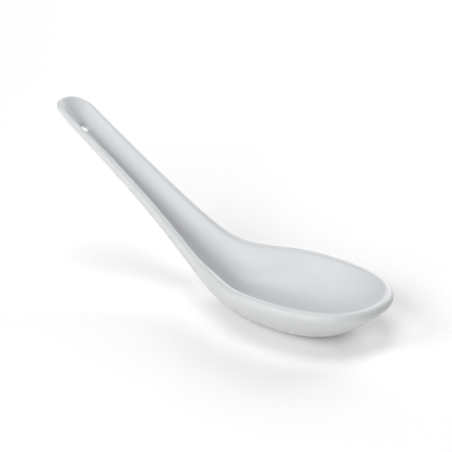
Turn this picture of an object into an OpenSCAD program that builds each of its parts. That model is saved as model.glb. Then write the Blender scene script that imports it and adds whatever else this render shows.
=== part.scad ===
// Chinese soup spoon in white glazed porcelain: an oval bowl on a flat foot, and a straight
// channelled handle that climbs from it to a round end with a hole to hang it by.
// X runs along the spoon to the bowl's tip, Y across it, and Z up from the table.
// The origin lies on the table, under the middle of the foot.

/* [Plan] */
// Length over all
spoon_len = 136; // [128:1:142]
// Reach of the bowl's tip beyond the middle of the foot
tip_reach = 39.5; // [36:0.5:43]
// Width of the bowl over its rim
bowl_w = 46; // [40:0.2:50]
// Where the bowl is widest, ahead of the middle of the foot
widest_x = 5; // [3:0.5:9]
// Squareness of the bowl's front, where 2 is an ellipse
front_square = 2.3; // [2:0.05:2.5]
// Width of the handle at its end
handle_w = 14.8; // [13.6:0.2:18]
// Length of the handle's round end
end_len = 10; // [8:0.5:12]
// Squareness of the handle's end, where 2 is an ellipse
end_square = 2.25; // [2:0.05:2.5]
// How long the handle's side holds its width before it flares
side_hold = 79; // [70:1:86]
// How long the flare takes to settle into the bowl's side
flare_hold = 27; // [22:1:34]

/* [Rim] */
// Height of the bowl's rim
bowl_h = 15.4; // [13:0.1:18]
// Climb of the handle for each millimetre of its run
climb = 0.65; // [0.54:0.01:0.7]
// Where the rim turns up into the handle
rim_turn_x = -27.5; // [-32:0.5:-22]
// Softness of the rim's turn
rim_turn_soft = 6.5; // [3:0.5:12]
// Drop of the rim at the handle's end
end_drop = 1.9; // [0:0.1:2.4]
// Where the handle starts to droop and its lip to thin
droop_x = -41.5; // [-55:0.5:-36]
// Droop of the handle at its end
droop = 2; // [0:0.1:2.8]
// Thickness of the handle's lip
handle_lip = 3; // [2.4:0.1:3.4]
// Thickness of the lip at the handle's very end
end_lip = 1.6; // [1.4:0.1:2]
// Thickness of the bowl's lip
bowl_lip = 3.8; // [2.8:0.1:4.2]

/* [Hollow] */
// Thickness of the bowl's bottom
bottom_t = 3.4; // [2.8:0.1:4]
// Depth of the channel at the handle's end
channel_d = 4.4; // [3.6:0.1:4.6]
// Where the hollow's floor turns up into the handle
floor_turn_x = -21.5; // [-23.5:0.5:-15.5]
// Softness of the floor's turn
floor_turn_soft = 7; // [5:0.5:12]
// Fullness of the channel, where 2 is a parabola
channel_full = 2.4; // [2:0.1:3]
// Fullness of the bowl's hollow, where 2 is a parabola
hollow_full = 2.8; // [2.2:0.1:3.2]

/* [Underside] */
// Depth of the handle at its end, from rim to keel
handle_d = 6.9; // [6.6:0.1:7.8]
// How far the bowl's round keel would reach below the foot that cuts it
foot_cut = 1.1; // [0.7:0.1:1.5]
// Where the keel turns up into the handle
heel_x = -21; // [-23.5:0.5:-18.5]
// Softness of the heel
heel_soft = 5; // [3:0.5:8]
// Fullness of the handle's back, where 2 is a parabola
back_full = 2.1; // [2:0.1:3]
// Fullness of the bowl's outside, where 2 is a parabola
bowl_full = 2.7; // [2.2:0.1:3.2]

/* [Hanging hole] */
// Diameter of the hole
hole_d = 3.2; // [2.8:0.1:4]
// Distance of the hole from the handle's end, along X
hole_in = 10.5; // [9.5:0.5:20]
// Depth of the flared mouth that opens the hole into the channel
hole_flare = 0.7; // [0.5:0.1:1]
// Width of the soft edge where the hole leaves the handle's back
hole_edge = 0.3; // [0.2:0.1:0.4]

/* [Glaze] */
// Thickness of the fired glaze
glaze_t = 0.3; // [0.2:0.05:0.4]

/* [Hidden] */

biscuit_white = [0.93, 0.91, 0.86];
glaze_white = [0.95, 0.96, 0.96];

// Ribs in the round end, along one side, and in the bowl's front
end_ribs = 8;
side_ribs = 22;
front_ribs = 12;
// Steps along a rib over the hollow, the lip and the outside
hollow_steps = 8;
lip_steps = 6;
outside_steps = 9;
// Stretch of the spoon in which the handle's section becomes the bowl's
section_from = -64.5;
section_to = -14.5;
// How far a cutting tool runs past what it cuts
clear = 10;
// Passes in which a wall's slope at the lip settles, and the slope it starts from
slope_passes = 4;
slope_guess = 60;
// Sides of the round hole
hole_sides = 48;

end_x = tip_reach - spoon_len;
first_x = end_x + end_len;
rim_end_z = bowl_h + climb * turn(first_x, rim_turn_x, rim_turn_soft);
floor_climb = (rim_end_z - channel_d - bottom_t) / turn(first_x, floor_turn_x, floor_turn_soft);
keel_climb = (rim_end_z - handle_d + foot_cut) / turn(first_x, heel_x, heel_soft);

// A line of slope -1 that turns level at a place, over a soft bend
function turn(x, at, soft) = (norm([x - at, soft]) - (x - at)) / 2;
function turn_slope(x, at, soft) = ((x - at) / norm([x - at, soft]) - 1) / 2;

// Share of the bowl's section in the section at x, from 0 on the handle to 1
function bowl_share(x) = let (s = min(max((x - section_from) / (section_to - section_from), 0), 1))
    s * s * (3 - 2 * s);
function mix(handle, bowl, x) = handle + (bowl - handle) * bowl_share(x);

// How far out on the drooping stretch x lies, from 0 to 1 at the end
function far_out(x) = max(droop_x - x, 0) / (droop_x - end_x);

// Droop of the handle towards its end
function droop_z(x) = -droop * pow(far_out(x), 2);
function droop_slope(x) = 2 * droop * far_out(x) / (droop_x - end_x);

// Thickness of the lip, which thins towards the handle's end
function lip_t(x) = mix(handle_lip, bowl_lip, x) - (handle_lip - end_lip) * pow(far_out(x), 2);

// Heights of the rim, of the hollow's floor and of the keel, under a skin that is left off
function rim_z(x) = bowl_h + climb * turn(x, rim_turn_x, rim_turn_soft) + droop_z(x)
    - end_drop * pow(max(first_x - x, 0) / end_len, 2);
function floor_slope(x) = floor_climb * turn_slope(x, floor_turn_x, floor_turn_soft) + droop_slope(x);
function floor_z(x, skin) = bottom_t + floor_climb * turn(x, floor_turn_x, floor_turn_soft)
    + droop_z(x) - skin * norm([1, floor_slope(x)]);
function keel_slope(x) = keel_climb * turn_slope(x, heel_x, heel_soft) + droop_slope(x);
function keel_z(x, skin) = keel_climb * turn(x, heel_x, heel_soft) - foot_cut
    + droop_z(x) + skin * norm([1, keel_slope(x)]);

// Plan of one side's rim, from the handle's end to the bowl's tip
function bezier(a, b, c, d, t) =
    a * pow(1 - t, 3) + 3 * b * pow(1 - t, 2) * t + 3 * c * (1 - t) * t * t + d * pow(t, 3);
function end_point(a) = [
    first_x - end_len * pow(cos(a), 2 / end_square),
    handle_w / 2 * pow(sin(a), 2 / end_square)];
function side_point(t) = bezier(
    [first_x, handle_w / 2],
    [first_x + side_hold, handle_w / 2],
    [widest_x - flare_hold, bowl_w / 2],
    [widest_x, bowl_w / 2], t);
function front_point(a) = [
    widest_x + (tip_reach - widest_x) * pow(sin(a), 2 / front_square),
    bowl_w / 2 * pow(cos(a), 2 / front_square)];
half_plan = concat(
    [for (i = [0 : end_ribs - 1]) end_point(90 * i / end_ribs)],
    [for (i = [0 : side_ribs - 1]) side_point(i / side_ribs)],
    [for (i = [0 : front_ribs]) front_point(90 * i / front_ribs)]);
half_ribs = len(half_plan);
rib_count = 2 * half_ribs - 2;

// A rib past the tip is the mirror image of one on the first side
function mirror_of(rib) = rib < half_ribs ? rib : rib_count - rib;
function plan_point(rib) = let (p = half_plan[mirror_of(rib)])
    rib < half_ribs ? p : [p.x, -p.y];
// Ribs of the round ends share the first or the last place on the middle line
function place(rib) = min(max(mirror_of(rib) - end_ribs, 0), side_ribs);
function place_x(place) = side_point(place / side_ribs).x;

// Slope of a wall where it runs into the round lip, inside the lip or outside it
function wall_slope(full, reach, rise, lean, lip, side, passes = slope_passes, a = slope_guess) =
    passes == 0 ? a : wall_slope(full, reach, rise, lean, lip, side, passes - 1, atan(lean
        + full * (rise - side * lip * (cos(a) + lean * sin(a))) / (reach + side * lip * sin(a))));

// One rib, as distances from the middle line and heights: up the hollow, over the lip, down the outside.
// Its walls rise from the middle line's own floor and keel, carried on under the round ends.
function section(x, middle_x, span, skin) = let (
    heading = (x - middle_x) / span,
    lip = lip_t(x) / 2,
    reach = span - lip,
    lip_x = middle_x + heading * reach,
    lip_z = rim_z(x) - lip,
    radius = lip - skin,
    full_in = mix(channel_full, hollow_full, x),
    full_out = mix(back_full, bowl_full, x),
    lean_in = heading * floor_slope(lip_x),
    lean_out = heading * keel_slope(lip_x),
    slope_in = wall_slope(full_in, reach, lip_z - floor_z(lip_x, skin), lean_in, radius, -1),
    slope_out = wall_slope(full_out, reach, lip_z - keel_z(lip_x, skin), lean_out, radius, 1),
    top_in = [reach - radius * sin(slope_in), lip_z + radius * cos(slope_in)],
    top_out = [reach + radius * sin(slope_out), lip_z - radius * cos(slope_out)],
    rise_in = top_in.y - floor_z(middle_x + heading * top_in.x, skin),
    rise_out = top_out.y - keel_z(middle_x + heading * top_out.x, skin),
    from = 90 - slope_in,
    sweep = 180 + slope_in - slope_out
) concat(
    [for (k = [1 : hollow_steps]) let (v = k / hollow_steps, r = top_in.x * v)
        [r, floor_z(middle_x + heading * r, skin) + rise_in * pow(v, full_in)]],
    [for (k = [1 : lip_steps]) let (a = from + sweep * k / lip_steps)
        [reach - radius * cos(a), lip_z + radius * sin(a)]],
    [for (k = [1 : outside_steps - 1]) let (v = 1 - k / outside_steps, r = top_out.x * v)
        [r, keel_z(middle_x + heading * r, skin) + rise_out * pow(v, full_out)]]);
steps = hollow_steps + lip_steps + outside_steps - 1;

function rib_points(rib, skin) = let (
    p = plan_point(rib),
    middle_x = place_x(place(rib)),
    out = p - [middle_x, 0],
    way = out / norm(out)
) [for (s = section(p.x, middle_x, norm(out), skin)) [middle_x + way.x * s.x, way.y * s.x, s.y]];

// The spoon's form under a skin that is left off
module form(skin) {
    places = side_ribs + 1;
    floor_line = [for (i = [0 : side_ribs]) [place_x(i), 0, floor_z(place_x(i), skin)]];
    keel_line = [for (i = [0 : side_ribs]) [place_x(i), 0, keel_z(place_x(i), skin)]];
    ribs = [for (i = [0 : rib_count - 1]) each rib_points(i, skin)];
    function at(rib, step) = 2 * places + (rib % rib_count) * steps + step;
    function next_place(rib) = place((rib + 1) % rib_count);
    last = steps - 1;
    floor_faces = [for (i = [0 : rib_count - 1]) let (a = place(i), b = next_place(i))
        each concat(
            [[a, at(i, 0), at(i + 1, 0)]],
            a == b ? [] : [[a, at(i + 1, 0), b]])];
    keel_faces = [for (i = [0 : rib_count - 1]) let (a = places + place(i), b = places + next_place(i))
        each concat(
            [[a, at(i + 1, last), at(i, last)]],
            a == b ? [] : [[a, b, at(i + 1, last)]])];
    wall_faces = [for (i = [0 : rib_count - 1], k = [0 : steps - 2])
        each [[at(i, k), at(i, k + 1), at(i + 1, k + 1)], [at(i, k), at(i + 1, k + 1), at(i + 1, k)]]];
    polyhedron(concat(floor_line, keel_line, ribs), concat(floor_faces, keel_faces, wall_faces));
}

// The hanging hole, square to the channel's floor: flared into the channel, soft-edged behind
hole_x = end_x + hole_in;
hole_tilt = atan(floor_slope(hole_x));
hole_deep = (floor_z(hole_x, 0) - keel_z(hole_x, 0)) * cos(hole_tilt);
module hanging_hole(skin) {
    d = hole_d + 2 * skin;
    translate([hole_x, 0, floor_z(hole_x, 0)])
        rotate([0, -hole_tilt, 0]) {
            cylinder(d = d, h = 3 * clear, center = true, $fn = hole_sides);
            translate([0, 0, -hole_flare])
                cylinder(d1 = d, d2 = d + 4 * hole_flare, h = 2 * hole_flare, $fn = hole_sides);
            translate([0, 0, -hole_deep - hole_edge])
                cylinder(d1 = d + 4 * hole_edge, d2 = d, h = 2 * hole_edge, $fn = hole_sides);
        }
}

// Everything below the table, which cuts the foot flat
module below_table() {
    translate([end_x, -bowl_w / 2, -clear])
        cube([spoon_len, bowl_w, clear]);
}

// The fired clay, bare on its foot
module porcelain_body() {
    color(biscuit_white)
        difference() {
            form(glaze_t);
            hanging_hole(glaze_t);
            below_table();
        }
}

// The glass skin over all but the foot, which lines the hole as well
module glaze_coat() {
    color(glaze_white)
        difference() {
            form(0);
            difference() {
                form(glaze_t);
                hanging_hole(glaze_t);
            }
            hanging_hole(0);
            below_table();
        }
}

porcelain_body();
glaze_coat();
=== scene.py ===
from math import atan, cos, hypot, pi, radians, sin

import bmesh
import bpy
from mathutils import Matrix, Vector
from mathutils.bvhtree import BVHTree


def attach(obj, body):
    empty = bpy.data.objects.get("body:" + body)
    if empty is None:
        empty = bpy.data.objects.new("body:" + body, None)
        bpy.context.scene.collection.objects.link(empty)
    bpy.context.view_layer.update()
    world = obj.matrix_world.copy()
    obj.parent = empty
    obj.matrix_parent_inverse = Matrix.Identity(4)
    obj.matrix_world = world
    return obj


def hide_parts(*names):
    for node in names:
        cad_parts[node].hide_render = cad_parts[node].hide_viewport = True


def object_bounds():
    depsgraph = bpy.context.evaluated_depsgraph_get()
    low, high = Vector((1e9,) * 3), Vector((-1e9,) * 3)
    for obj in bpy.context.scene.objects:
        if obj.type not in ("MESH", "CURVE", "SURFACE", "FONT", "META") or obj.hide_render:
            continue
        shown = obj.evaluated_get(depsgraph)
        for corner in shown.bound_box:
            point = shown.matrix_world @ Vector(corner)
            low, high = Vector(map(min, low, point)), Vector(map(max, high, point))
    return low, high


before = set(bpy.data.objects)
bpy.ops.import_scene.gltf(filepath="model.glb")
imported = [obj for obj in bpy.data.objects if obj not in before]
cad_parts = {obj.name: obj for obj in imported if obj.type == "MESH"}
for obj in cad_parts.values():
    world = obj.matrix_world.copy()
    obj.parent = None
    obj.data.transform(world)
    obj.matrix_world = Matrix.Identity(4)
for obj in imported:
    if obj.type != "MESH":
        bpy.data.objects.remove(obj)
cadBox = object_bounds()
mm = 0.001
scene = bpy.context.scene
print("frame loaded:", sorted(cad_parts))

# Camera: seen from the bowl's side and a little above, with a long lens
cameraView = {
    "azimuth": 38.0,
    "elevation": 23.75,
    "distance": 0.7,
    "around": (-28.5, 0, 22),  # mm, the point that the camera stands back from
    "aim": (-26.48, 3.18, 24.87),  # mm, in the middle of the picture
    "lens": 164.75,
    "sensor": 36,
}


def directionTo(azimuth, elevation):  # azimuth 0 is the side towards -Y
    a, e = radians(azimuth), radians(elevation)
    return Vector((sin(a) * cos(e), -cos(a) * cos(e), sin(e)))


def addCamera(view):
    data = bpy.data.cameras.new("camera")
    data.lens = view["lens"]
    data.sensor_width = view["sensor"]
    data.clip_start = 0.01
    camera = bpy.data.objects.new("camera", data)
    scene.collection.objects.link(camera)
    back = directionTo(view["azimuth"], view["elevation"])
    camera.location = Vector(view["around"]) * mm + back * view["distance"]
    looksBack = camera.location - Vector(view["aim"]) * mm
    camera.rotation_euler = looksBack.to_track_quat("Z", "Y").to_euler()
    scene.camera = camera


addCamera(cameraView)
print("camera placed")

# The spoon's form, in mm, as the solids have it
plan = {
    "length": 136, "tipReach": 39.5, "bowlWidth": 46, "widestX": 5, "frontSquare": 2.3,
    "handleWidth": 14.8, "endLength": 10, "endSquare": 2.25, "sideHold": 79, "flareHold": 27,
}
rim = {
    "bowlHeight": 15.4, "climb": 0.65, "turnX": -27.5, "turnSoft": 6.5, "endDrop": 1.9,
    "droopX": -41.5, "droop": 2, "handleLip": 3, "endLip": 1.6, "bowlLip": 3.8,
}
hollow = {
    "bottom": 3.4, "channelDepth": 4.4, "turnX": -21.5, "turnSoft": 7,
    "channelFull": 2.4, "bowlFull": 2.8,  # a fuller wall stands steeper at the lip
}
underside = {
    "handleDepth": 6.9, "footCut": 1.1, "turnX": -21, "turnSoft": 5,
    "backFull": 2.1, "bowlFull": 2.7,
}
sectionChange = {"from": -64.5, "to": -14.5}  # where the handle's section becomes the bowl's
mesh = {
    "endRibs": 24, "sideRibs": 90, "frontRibs": 36, "crowding": 1.5,  # ribs crowd towards the hole
    "hollowSteps": 26, "lipSteps": 16, "outsideSteps": 28,
}
weld = 1e-4  # mm, points closer than this are one

endX = plan["tipReach"] - plan["length"]
firstX = endX + plan["endLength"]
ribCount = mesh["endRibs"] + mesh["sideRibs"] + mesh["frontRibs"]
stepCount = mesh["hollowSteps"] + mesh["lipSteps"] + mesh["outsideSteps"]


def turn(x, bend):  # a line of slope -1 that turns level over a soft bend
    return (hypot(x - bend["turnX"], bend["turnSoft"]) - (x - bend["turnX"])) / 2


def turnSlope(x, bend):
    return ((x - bend["turnX"]) / hypot(x - bend["turnX"], bend["turnSoft"]) - 1) / 2


def mix(handle, bowl, x):
    s = min(max((x - sectionChange["from"]) / (sectionChange["to"] - sectionChange["from"]), 0), 1)
    return handle + (bowl - handle) * s * s * (3 - 2 * s)


def farOut(x):  # 0 where the handle starts to droop, 1 at its end
    return max(rim["droopX"] - x, 0) / (rim["droopX"] - endX)


def droopZ(x):
    return -rim["droop"] * farOut(x) ** 2


def droopSlope(x):
    return 2 * rim["droop"] * farOut(x) / (rim["droopX"] - endX)


rimEndZ = rim["bowlHeight"] + rim["climb"] * turn(firstX, rim)
floorClimb = (rimEndZ - hollow["channelDepth"] - hollow["bottom"]) / turn(firstX, hollow)
keelClimb = (rimEndZ - underside["handleDepth"] + underside["footCut"]) / turn(firstX, underside)


def rimZ(x):
    drop = rim["endDrop"] * (max(firstX - x, 0) / plan["endLength"]) ** 2
    return rim["bowlHeight"] + rim["climb"] * turn(x, rim) + droopZ(x) - drop


def floorSlope(x):
    return floorClimb * turnSlope(x, hollow) + droopSlope(x)


def floorZ(x, skin):
    height = hollow["bottom"] + floorClimb * turn(x, hollow)
    return height + droopZ(x) - skin * hypot(1, floorSlope(x))


def keelSlope(x):
    return keelClimb * turnSlope(x, underside) + droopSlope(x)


def keelZ(x, skin):
    height = keelClimb * turn(x, underside) - underside["footCut"]
    return height + droopZ(x) + skin * hypot(1, keelSlope(x))


def lipThickness(x):
    thinned = (rim["handleLip"] - rim["endLip"]) * farOut(x) ** 2
    return mix(rim["handleLip"], rim["bowlLip"], x) - thinned


def sidePoint(along):  # a Bezier curve from the handle's round end to the bowl's widest place
    t = along ** mesh["crowding"]
    points = (
        Vector((firstX, plan["handleWidth"] / 2)),
        Vector((firstX + plan["sideHold"], plan["handleWidth"] / 2)),
        Vector((plan["widestX"] - plan["flareHold"], plan["bowlWidth"] / 2)),
        Vector((plan["widestX"], plan["bowlWidth"] / 2)),
    )
    weights = ((1 - t) ** 3, 3 * t * (1 - t) ** 2, 3 * t * t * (1 - t), t ** 3)
    return sum((p * w for p, w in zip(points, weights)), Vector((0, 0)))


def planPoint(rib):  # where a rib meets the outline: the handle's end, a side, or the bowl's front
    side = rib - mesh["endRibs"]
    front = side - mesh["sideRibs"]
    if side < 0:
        a, power = pi / 2 * rib / mesh["endRibs"], 2 / plan["endSquare"]
        x = firstX - plan["endLength"] * cos(a) ** power
        return Vector((x, plan["handleWidth"] / 2 * sin(a) ** power))
    if front < 0:
        return sidePoint(side / mesh["sideRibs"])
    a, power = pi / 2 * front / mesh["frontRibs"], 2 / plan["frontSquare"]
    x = plan["widestX"] + (plan["tipReach"] - plan["widestX"]) * sin(a) ** power
    across = cos(a) if rib < ribCount else 0
    return Vector((x, plan["bowlWidth"] / 2 * across ** power))


def middleX(rib):  # the ribs of a round end share one place on the middle line
    place = min(max(rib - mesh["endRibs"], 0), mesh["sideRibs"])
    return sidePoint(place / mesh["sideRibs"]).x


def wallSlope(full, reach, rise, lean, lip, side):  # where a wall runs into the round lip
    a = radians(60)  # a first guess, which a few rounds settle
    for settle in range(6):
        risen = rise - side * lip * (cos(a) + lean * sin(a))
        a = atan(lean + full * risen / (reach + side * lip * sin(a)))
    return a


# A rib goes up the hollow, over the lip and down the outside, with the glaze's pooling at each point
def ribPoints(rib, skin):
    p, start = planPoint(rib), middleX(rib)
    out = p - Vector((start, 0))
    way, heading = out.normalized(), (p.x - start) / out.length
    lip = lipThickness(p.x) / 2
    reach, lipZ, radius = out.length - lip, rimZ(p.x) - lip, lip - skin
    lipX = start + heading * reach
    fullIn = mix(hollow["channelFull"], hollow["bowlFull"], p.x)
    fullOut = mix(underside["backFull"], underside["bowlFull"], p.x)
    leanIn, leanOut = heading * floorSlope(lipX), heading * keelSlope(lipX)
    slopeIn = wallSlope(fullIn, reach, lipZ - floorZ(lipX, skin), leanIn, radius, -1)
    slopeOut = wallSlope(fullOut, reach, lipZ - keelZ(lipX, skin), leanOut, radius, 1)
    topIn = Vector((reach - radius * sin(slopeIn), lipZ + radius * cos(slopeIn)))
    topOut = Vector((reach + radius * sin(slopeOut), lipZ - radius * cos(slopeOut)))
    riseIn = topIn.y - floorZ(start + heading * topIn.x, skin)
    riseOut = topOut.y - keelZ(start + heading * topOut.x, skin)
    points = []
    for k in range(stepCount + 1):
        if k <= mesh["hollowSteps"]:
            share = k / mesh["hollowSteps"]
            r = topIn.x * share
            z = floorZ(start + heading * r, skin) + riseIn * share ** fullIn
            pooled = 1
        elif k <= mesh["hollowSteps"] + mesh["lipSteps"]:
            turned = (k - mesh["hollowSteps"]) / mesh["lipSteps"]
            a = pi / 2 - slopeIn + (pi + slopeIn - slopeOut) * turned
            r, z = reach - radius * cos(a), lipZ + radius * sin(a)
            pooled = 1 - turned
        else:
            share = (stepCount - k) / mesh["outsideSteps"]
            r = topOut.x * share
            z = keelZ(start + heading * r, skin) + riseOut * share ** fullOut
            pooled = 0
        points.append((Vector((start + way.x * r, way.y * r, z)), pooled))
    return points


# The hanging hole, flared into the channel and soft-edged behind, in mm
hole = {
    "width": 3.2, "fromEnd": 10.5, "flare": 0.7, "edge": 0.3,
    "collar": 0.35, "clearing": 0.525,  # a new ring round each bend, and what is cut away for it
    "sides": 64, "bendLoops": 6,
}

holeX = endX + hole["fromEnd"]
holeTilt = -atan(floorSlope(holeX))
holeAxis = Vector((sin(holeTilt), 0, cos(holeTilt)))
holeAlong = Vector((cos(holeTilt), 0, -sin(holeTilt)))
holeTop = Vector((holeX, 0, floorZ(holeX, 0)))
holeDeep = (floorZ(holeX, 0) - keelZ(holeX, 0)) * cos(holeTilt)


def fromAxis(point):  # distance from the hole's axis, and height above its mouth
    d = point - holeTop
    height = d.dot(holeAxis)
    return (d - holeAxis * height).length, height


def roundAxis(r, a):  # a point level with the hole's mouth
    return holeTop + (holeAlong * cos(a) + Vector((0, sin(a), 0))) * r


def inChannel(face):  # faces in the channel look up the hole's axis, faces behind look down it
    return face.normal.dot(holeAxis) > 0


def pierceHole(bm, skin):
    tree = BVHTree.FromBMesh(bm)
    radius = hole["width"] / 2 + skin

    def surfaceHeight(spot, above):  # the channel's floor, or the handle's back
        far = holeAxis * 3 * holeDeep
        start, way = (spot + far, -holeAxis) if above else (spot - far, holeAxis)
        return fromAxis(tree.ray_cast(start, way)[0])[1]

    # rings go over the bend from the channel's floor, down the wall and round the edge to the back
    rings = []
    for above, bend in ((True, hole["flare"]), (False, hole["edge"])):
        inwards = 1 if above else -1
        half = [(radius + bend + hole["collar"], 0, above)]
        for k in range(hole["bendLoops"] + 1):
            a = pi / 2 * k / hole["bendLoops"]
            half.append((radius + bend * (1 - sin(a)), inwards * bend * (1 - cos(a)), above))
        rings += half if above else half[::-1]
    cut = []
    for face in bm.faces:
        bend = hole["flare"] if inChannel(face) else hole["edge"]
        if min(fromAxis(v.co)[0] for v in face.verts) < radius + bend + hole["clearing"]:
            cut.append(face)
    bmesh.ops.delete(bm, geom=cut, context="FACES")
    openEdges = [e for e in bm.edges if e.is_boundary]
    channelLoop = [e for e in openEdges if inChannel(e.link_faces[0])]
    backLoop = [e for e in openEdges if not inChannel(e.link_faces[0])]

    circles = []
    for r, sink, above in rings:
        verts = bmesh.ops.create_circle(bm, segments=hole["sides"], radius=1)["verts"]
        for k, vert in enumerate(verts):
            spot = roundAxis(r, 2 * pi * k / hole["sides"])
            vert.co = spot + holeAxis * (surfaceHeight(spot, above) - sink)
            vert[bm.verts.layers.float["pooled"]] = 1
        circles.append(list(dict.fromkeys(e for v in verts for e in v.link_edges)))
    for upper, lower in zip(circles, circles[1:]):
        bmesh.ops.bridge_loops(bm, edges=upper + lower)
    for edge, ring in ((channelLoop, circles[0]), (backLoop, circles[-1])):
        bmesh.ops.triangle_fill(bm, edges=edge + ring, use_beauty=True, normal=holeAxis)


def spoonForm(skin, standsAt):  # the form under a skin of a thickness, cut level at a height
    bm = bmesh.new()
    pooled = bm.verts.layers.float.new("pooled")
    grid = bmesh.ops.create_grid(bm, x_segments=ribCount, y_segments=stepCount, size=0.5)
    ribs = [ribPoints(i, skin) for i in range(ribCount + 1)]
    for vert in grid["verts"]:
        rib = round((vert.co.x + 0.5) * ribCount)
        step = round((vert.co.y + 0.5) * stepCount)
        vert.co, vert[pooled] = ribs[rib][step]
    everything = bm.verts[:] + bm.edges[:] + bm.faces[:]
    bmesh.ops.mirror(bm, geom=everything, axis="Y", merge_dist=weld)
    bmesh.ops.remove_doubles(bm, verts=bm.verts, dist=weld)
    bmesh.ops.recalc_face_normals(bm, faces=bm.faces)
    pierceHole(bm, skin)
    everything = bm.verts[:] + bm.edges[:] + bm.faces[:]
    bmesh.ops.bisect_plane(
        bm, geom=everything, plane_co=(0, 0, standsAt), plane_no=(0, 0, 1), clear_inner=True)
    bmesh.ops.remove_doubles(bm, verts=bm.verts, dist=weld)
    bmesh.ops.recalc_face_normals(bm, faces=bm.faces)
    return bm


def footEdges(bm):  # after the hole is made, only the level cut is open
    return [e for e in bm.edges if e.is_boundary]


sharpFrom = 40  # degrees, edges that turn more than this stay crisp


def addPiece(name, bm, material, node):
    bmesh.ops.scale(bm, vec=(mm, mm, mm), verts=bm.verts)
    for face in bm.faces:
        face.smooth = True
    data = bpy.data.meshes.new(name)
    bm.to_mesh(data)
    bm.free()
    data.set_sharp_from_angle(angle=radians(sharpFrom))
    data.materials.append(material)
    piece = bpy.data.objects.new(name, data)
    scene.collection.objects.link(piece)
    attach(piece, "root")
    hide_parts(node)
    print(name, "made:", len(data.polygons), "faces")
    return piece


def linear(code):  # an sRGB hex colour, as Blender's linear colour
    parts = [int(code[i:i + 2], 16) / 255 for i in (1, 3, 5)]
    return [p / 12.92 if p <= 0.04045 else ((p + 0.055) / 1.055) ** 2.4 for p in parts] + [1]


def perMetre(size):  # a noise's scale for features of a size in mm
    return 1 / (size * mm)


# Settings go on the node or its sockets, links come from other nodes; Mix sockets go by number
def addNode(tree, kind, settings, links):
    node = tree.nodes.new(kind)
    for key, value in settings.items():
        if isinstance(key, str) and hasattr(node, key):
            setattr(node, key, value)
        else:
            node.inputs[key].default_value = value
    for key, socket in links.items():
        tree.links.new(socket, node.inputs[key])
    return node


def newMaterial(name):
    material = bpy.data.materials.new(name)
    material.use_nodes = True
    return material, material.node_tree, material.node_tree.nodes["Principled BSDF"]


# Clear feldspar glaze over white porcelain, dipped and fired: a smooth satin white under a faint
# gloss, a little cooler where the glass has pooled in the hollow, and very slightly wavy, so that
# highlights are soft
glazeLook = {
    "hollow": "#D3D5D9", "outside": "#D0D2D0", "roughness": (0.46, 0.52), "ior": 1.5,
    "coat": 0.15, "coatRoughness": 0.2,
    "waveSize": 9, "waveHeight": 0.012, "cloudSize": 22, "clouding": 0.3,
}


def glazedPorcelain(look):
    material, tree, shader = newMaterial("glazedPorcelain")
    place = addNode(tree, "ShaderNodeTexCoord", {}, {})
    pooled = addNode(tree, "ShaderNodeAttribute", {"attribute_name": "pooled"}, {})
    cloud = addNode(tree, "ShaderNodeTexNoise", {
        "Scale": perMetre(look["cloudSize"]), "Detail": 2}, {"Vector": place.outputs["Object"]})
    depth = addNode(tree, "ShaderNodeMix", {0: look["clouding"]}, {
        2: pooled.outputs["Fac"], 3: cloud.outputs["Fac"]})
    tint = addNode(tree, "ShaderNodeMix", {
        "data_type": "RGBA", 6: linear(look["outside"]), 7: linear(look["hollow"])}, {
        0: depth.outputs[0]})
    gloss = addNode(tree, "ShaderNodeMapRange", {
        "To Min": look["roughness"][0], "To Max": look["roughness"][1]}, {
        "Value": cloud.outputs["Fac"]})
    wave = addNode(tree, "ShaderNodeTexNoise", {
        "Scale": perMetre(look["waveSize"]), "Detail": 1}, {"Vector": place.outputs["Object"]})
    bump = addNode(tree, "ShaderNodeBump", {"Strength": 1, "Distance": look["waveHeight"] * mm}, {
        "Height": wave.outputs["Fac"]})
    shader.inputs["IOR"].default_value = look["ior"]
    shader.inputs["Coat Weight"].default_value = look["coat"]
    shader.inputs["Coat Roughness"].default_value = look["coatRoughness"]
    tree.links.new(tint.outputs[2], shader.inputs["Base Color"])
    tree.links.new(gloss.outputs[0], shader.inputs["Roughness"])
    tree.links.new(bump.outputs[0], shader.inputs["Normal"])
    return material


# Bare fired porcelain, wiped clean of glaze before the kiln: chalky, a little warmer, with a fine
# grit, and faintly grey and smoother where it has rubbed on tables
biscuitLook = {
    "clay": "#E4E1DA", "rub": "#D3D0CA", "roughness": (0.8, 0.62),
    "gritSize": 0.35, "gritHeight": 0.015, "rubSize": 6, "rubbed": (0.45, 0.8),
}


def bareBiscuit(look):
    material, tree, shader = newMaterial("bareBiscuit")
    place = addNode(tree, "ShaderNodeTexCoord", {}, {})
    rub = addNode(tree, "ShaderNodeTexNoise", {
        "Scale": perMetre(look["rubSize"]), "Detail": 3}, {"Vector": place.outputs["Object"]})
    worn = addNode(tree, "ShaderNodeMapRange", {
        "From Min": look["rubbed"][0], "From Max": look["rubbed"][1]}, {"Value": rub.outputs["Fac"]})
    polish = addNode(tree, "ShaderNodeMapRange", {
        "To Min": look["roughness"][0], "To Max": look["roughness"][1]}, {"Value": worn.outputs[0]})
    tint = addNode(tree, "ShaderNodeMix", {
        "data_type": "RGBA", 6: linear(look["clay"]), 7: linear(look["rub"])}, {0: worn.outputs[0]})
    grit = addNode(tree, "ShaderNodeTexNoise", {
        "Scale": perMetre(look["gritSize"]), "Detail": 2}, {"Vector": place.outputs["Object"]})
    bump = addNode(tree, "ShaderNodeBump", {"Strength": 1, "Distance": look["gritHeight"] * mm}, {
        "Height": grit.outputs["Fac"]})
    tree.links.new(tint.outputs[2], shader.inputs["Base Color"])
    tree.links.new(polish.outputs[0], shader.inputs["Roughness"])
    tree.links.new(bump.outputs[0], shader.inputs["Normal"])
    return material


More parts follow.
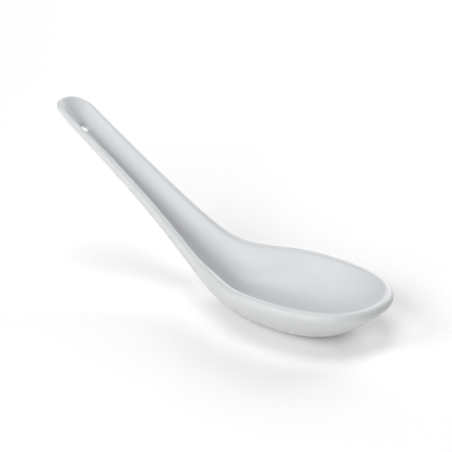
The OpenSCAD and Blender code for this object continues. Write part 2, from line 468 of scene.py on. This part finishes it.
# The glaze, in mm, wiped back a little from the table round the foot
glaze = {"thickness": 0.3, "wipedTo": 0.3}

# The fired clay, which shows on the foot alone
clay = {"shortestEdge": 0.3}  # mm, shorter stretches of the foot's outline are merged


def makeClayBody():
    bm = spoonForm(glaze["thickness"], 0)
    outline = list(dict.fromkeys(v for e in footEdges(bm) for v in e.verts))
    bmesh.ops.remove_doubles(bm, verts=outline, dist=clay["shortestEdge"])
    bmesh.ops.contextual_create(bm, geom=footEdges(bm))
    bmesh.ops.recalc_face_normals(bm, faces=bm.faces)
    return addPiece("clayBody", bm, bareBiscuit(biscuitLook), "porcelain_body")


def makeGlazeSkin():
    bm = spoonForm(0, glaze["wipedTo"])
    inside = spoonForm(glaze["thickness"], glaze["wipedTo"])
    bmesh.ops.reverse_faces(inside, faces=inside.faces)
    wall = bpy.data.meshes.new("glazeInside")
    inside.to_mesh(wall)
    inside.free()
    bm.from_mesh(wall)
    bpy.data.meshes.remove(wall)
    bmesh.ops.bridge_loops(bm, edges=footEdges(bm))
    return addPiece("glazeSkin", bm, glazedPorcelain(glazeLook), "glaze_coat")


makeClayBody()
makeGlazeSkin()

# A sheet of matte white paper under the spoon, a hair below the foot
paper = {
    "size": 6.0,  # m
    "below": 0.02,  # mm
    "colour": "#FCFCFC", "roughness": 0.9, "glow": 0.04,
}


def makeFloor():
    bm = bmesh.new()
    bmesh.ops.create_grid(bm, x_segments=1, y_segments=1, size=paper["size"] / 2)
    bmesh.ops.translate(bm, vec=(0, 0, -paper["below"] * mm), verts=bm.verts)
    data = bpy.data.meshes.new("floor")
    bm.to_mesh(data)
    bm.free()
    material, tree, shader = newMaterial("mattePaper")
    shader.inputs["Base Color"].default_value = linear(paper["colour"])
    shader.inputs["Roughness"].default_value = paper["roughness"]
    shader.inputs["Emission Color"].default_value = (1, 1, 1, 1)
    shader.inputs["Emission Strength"].default_value = paper["glow"]
    data.materials.append(material)
    floor = bpy.data.objects.new("floor", data)
    scene.collection.objects.link(floor)


makeFloor()

# Soft studio light: two keys on the near side, a bright backdrop, one softbox overhead and a little
# from the right; sizes and distances in m, powers in W
room = 0.02
softboxes = {
    "key": {"azimuth": 15, "elevation": 25, "distance": 1.0, "size": 0.5, "power": 4.6},
    "keyLeft": {"azimuth": -30, "elevation": 35, "distance": 1.0, "size": 0.5, "power": 3.0},
    "right": {"azimuth": 100, "elevation": 22, "distance": 1.0, "size": 0.55, "power": 0.6},
    "backdrop": {"azimuth": 180, "elevation": 25, "distance": 1.0, "size": 0.73, "power": 4.6},
    "backdropLeft": {"azimuth": -150, "elevation": 10, "distance": 1.0, "size": 0.73, "power": 3.5},
    "top": {"azimuth": -60, "elevation": 84, "distance": 1.0, "size": 0.73, "power": 4.2},
}


def addSoftbox(name, box):
    data = bpy.data.lights.new(name, "AREA")
    data.shape = "DISK"
    data.size = box["size"]
    data.energy = box["power"]
    light = bpy.data.objects.new(name, data)
    scene.collection.objects.link(light)
    way = directionTo(box["azimuth"], box["elevation"])
    light.location = (cadBox[0] + cadBox[1]) / 2 + way * box["distance"]
    light.rotation_euler = way.to_track_quat("Z", "Y").to_euler()


world = bpy.data.worlds.new("room")
scene.world = world
world.use_nodes = True
world.node_tree.nodes["Background"].inputs["Color"].default_value = (1, 1, 1, 1)
world.node_tree.nodes["Background"].inputs["Strength"].default_value = room
for name, box in softboxes.items():
    addSoftbox(name, box)
scene.view_settings.view_transform = "Standard"
print("stage lit")
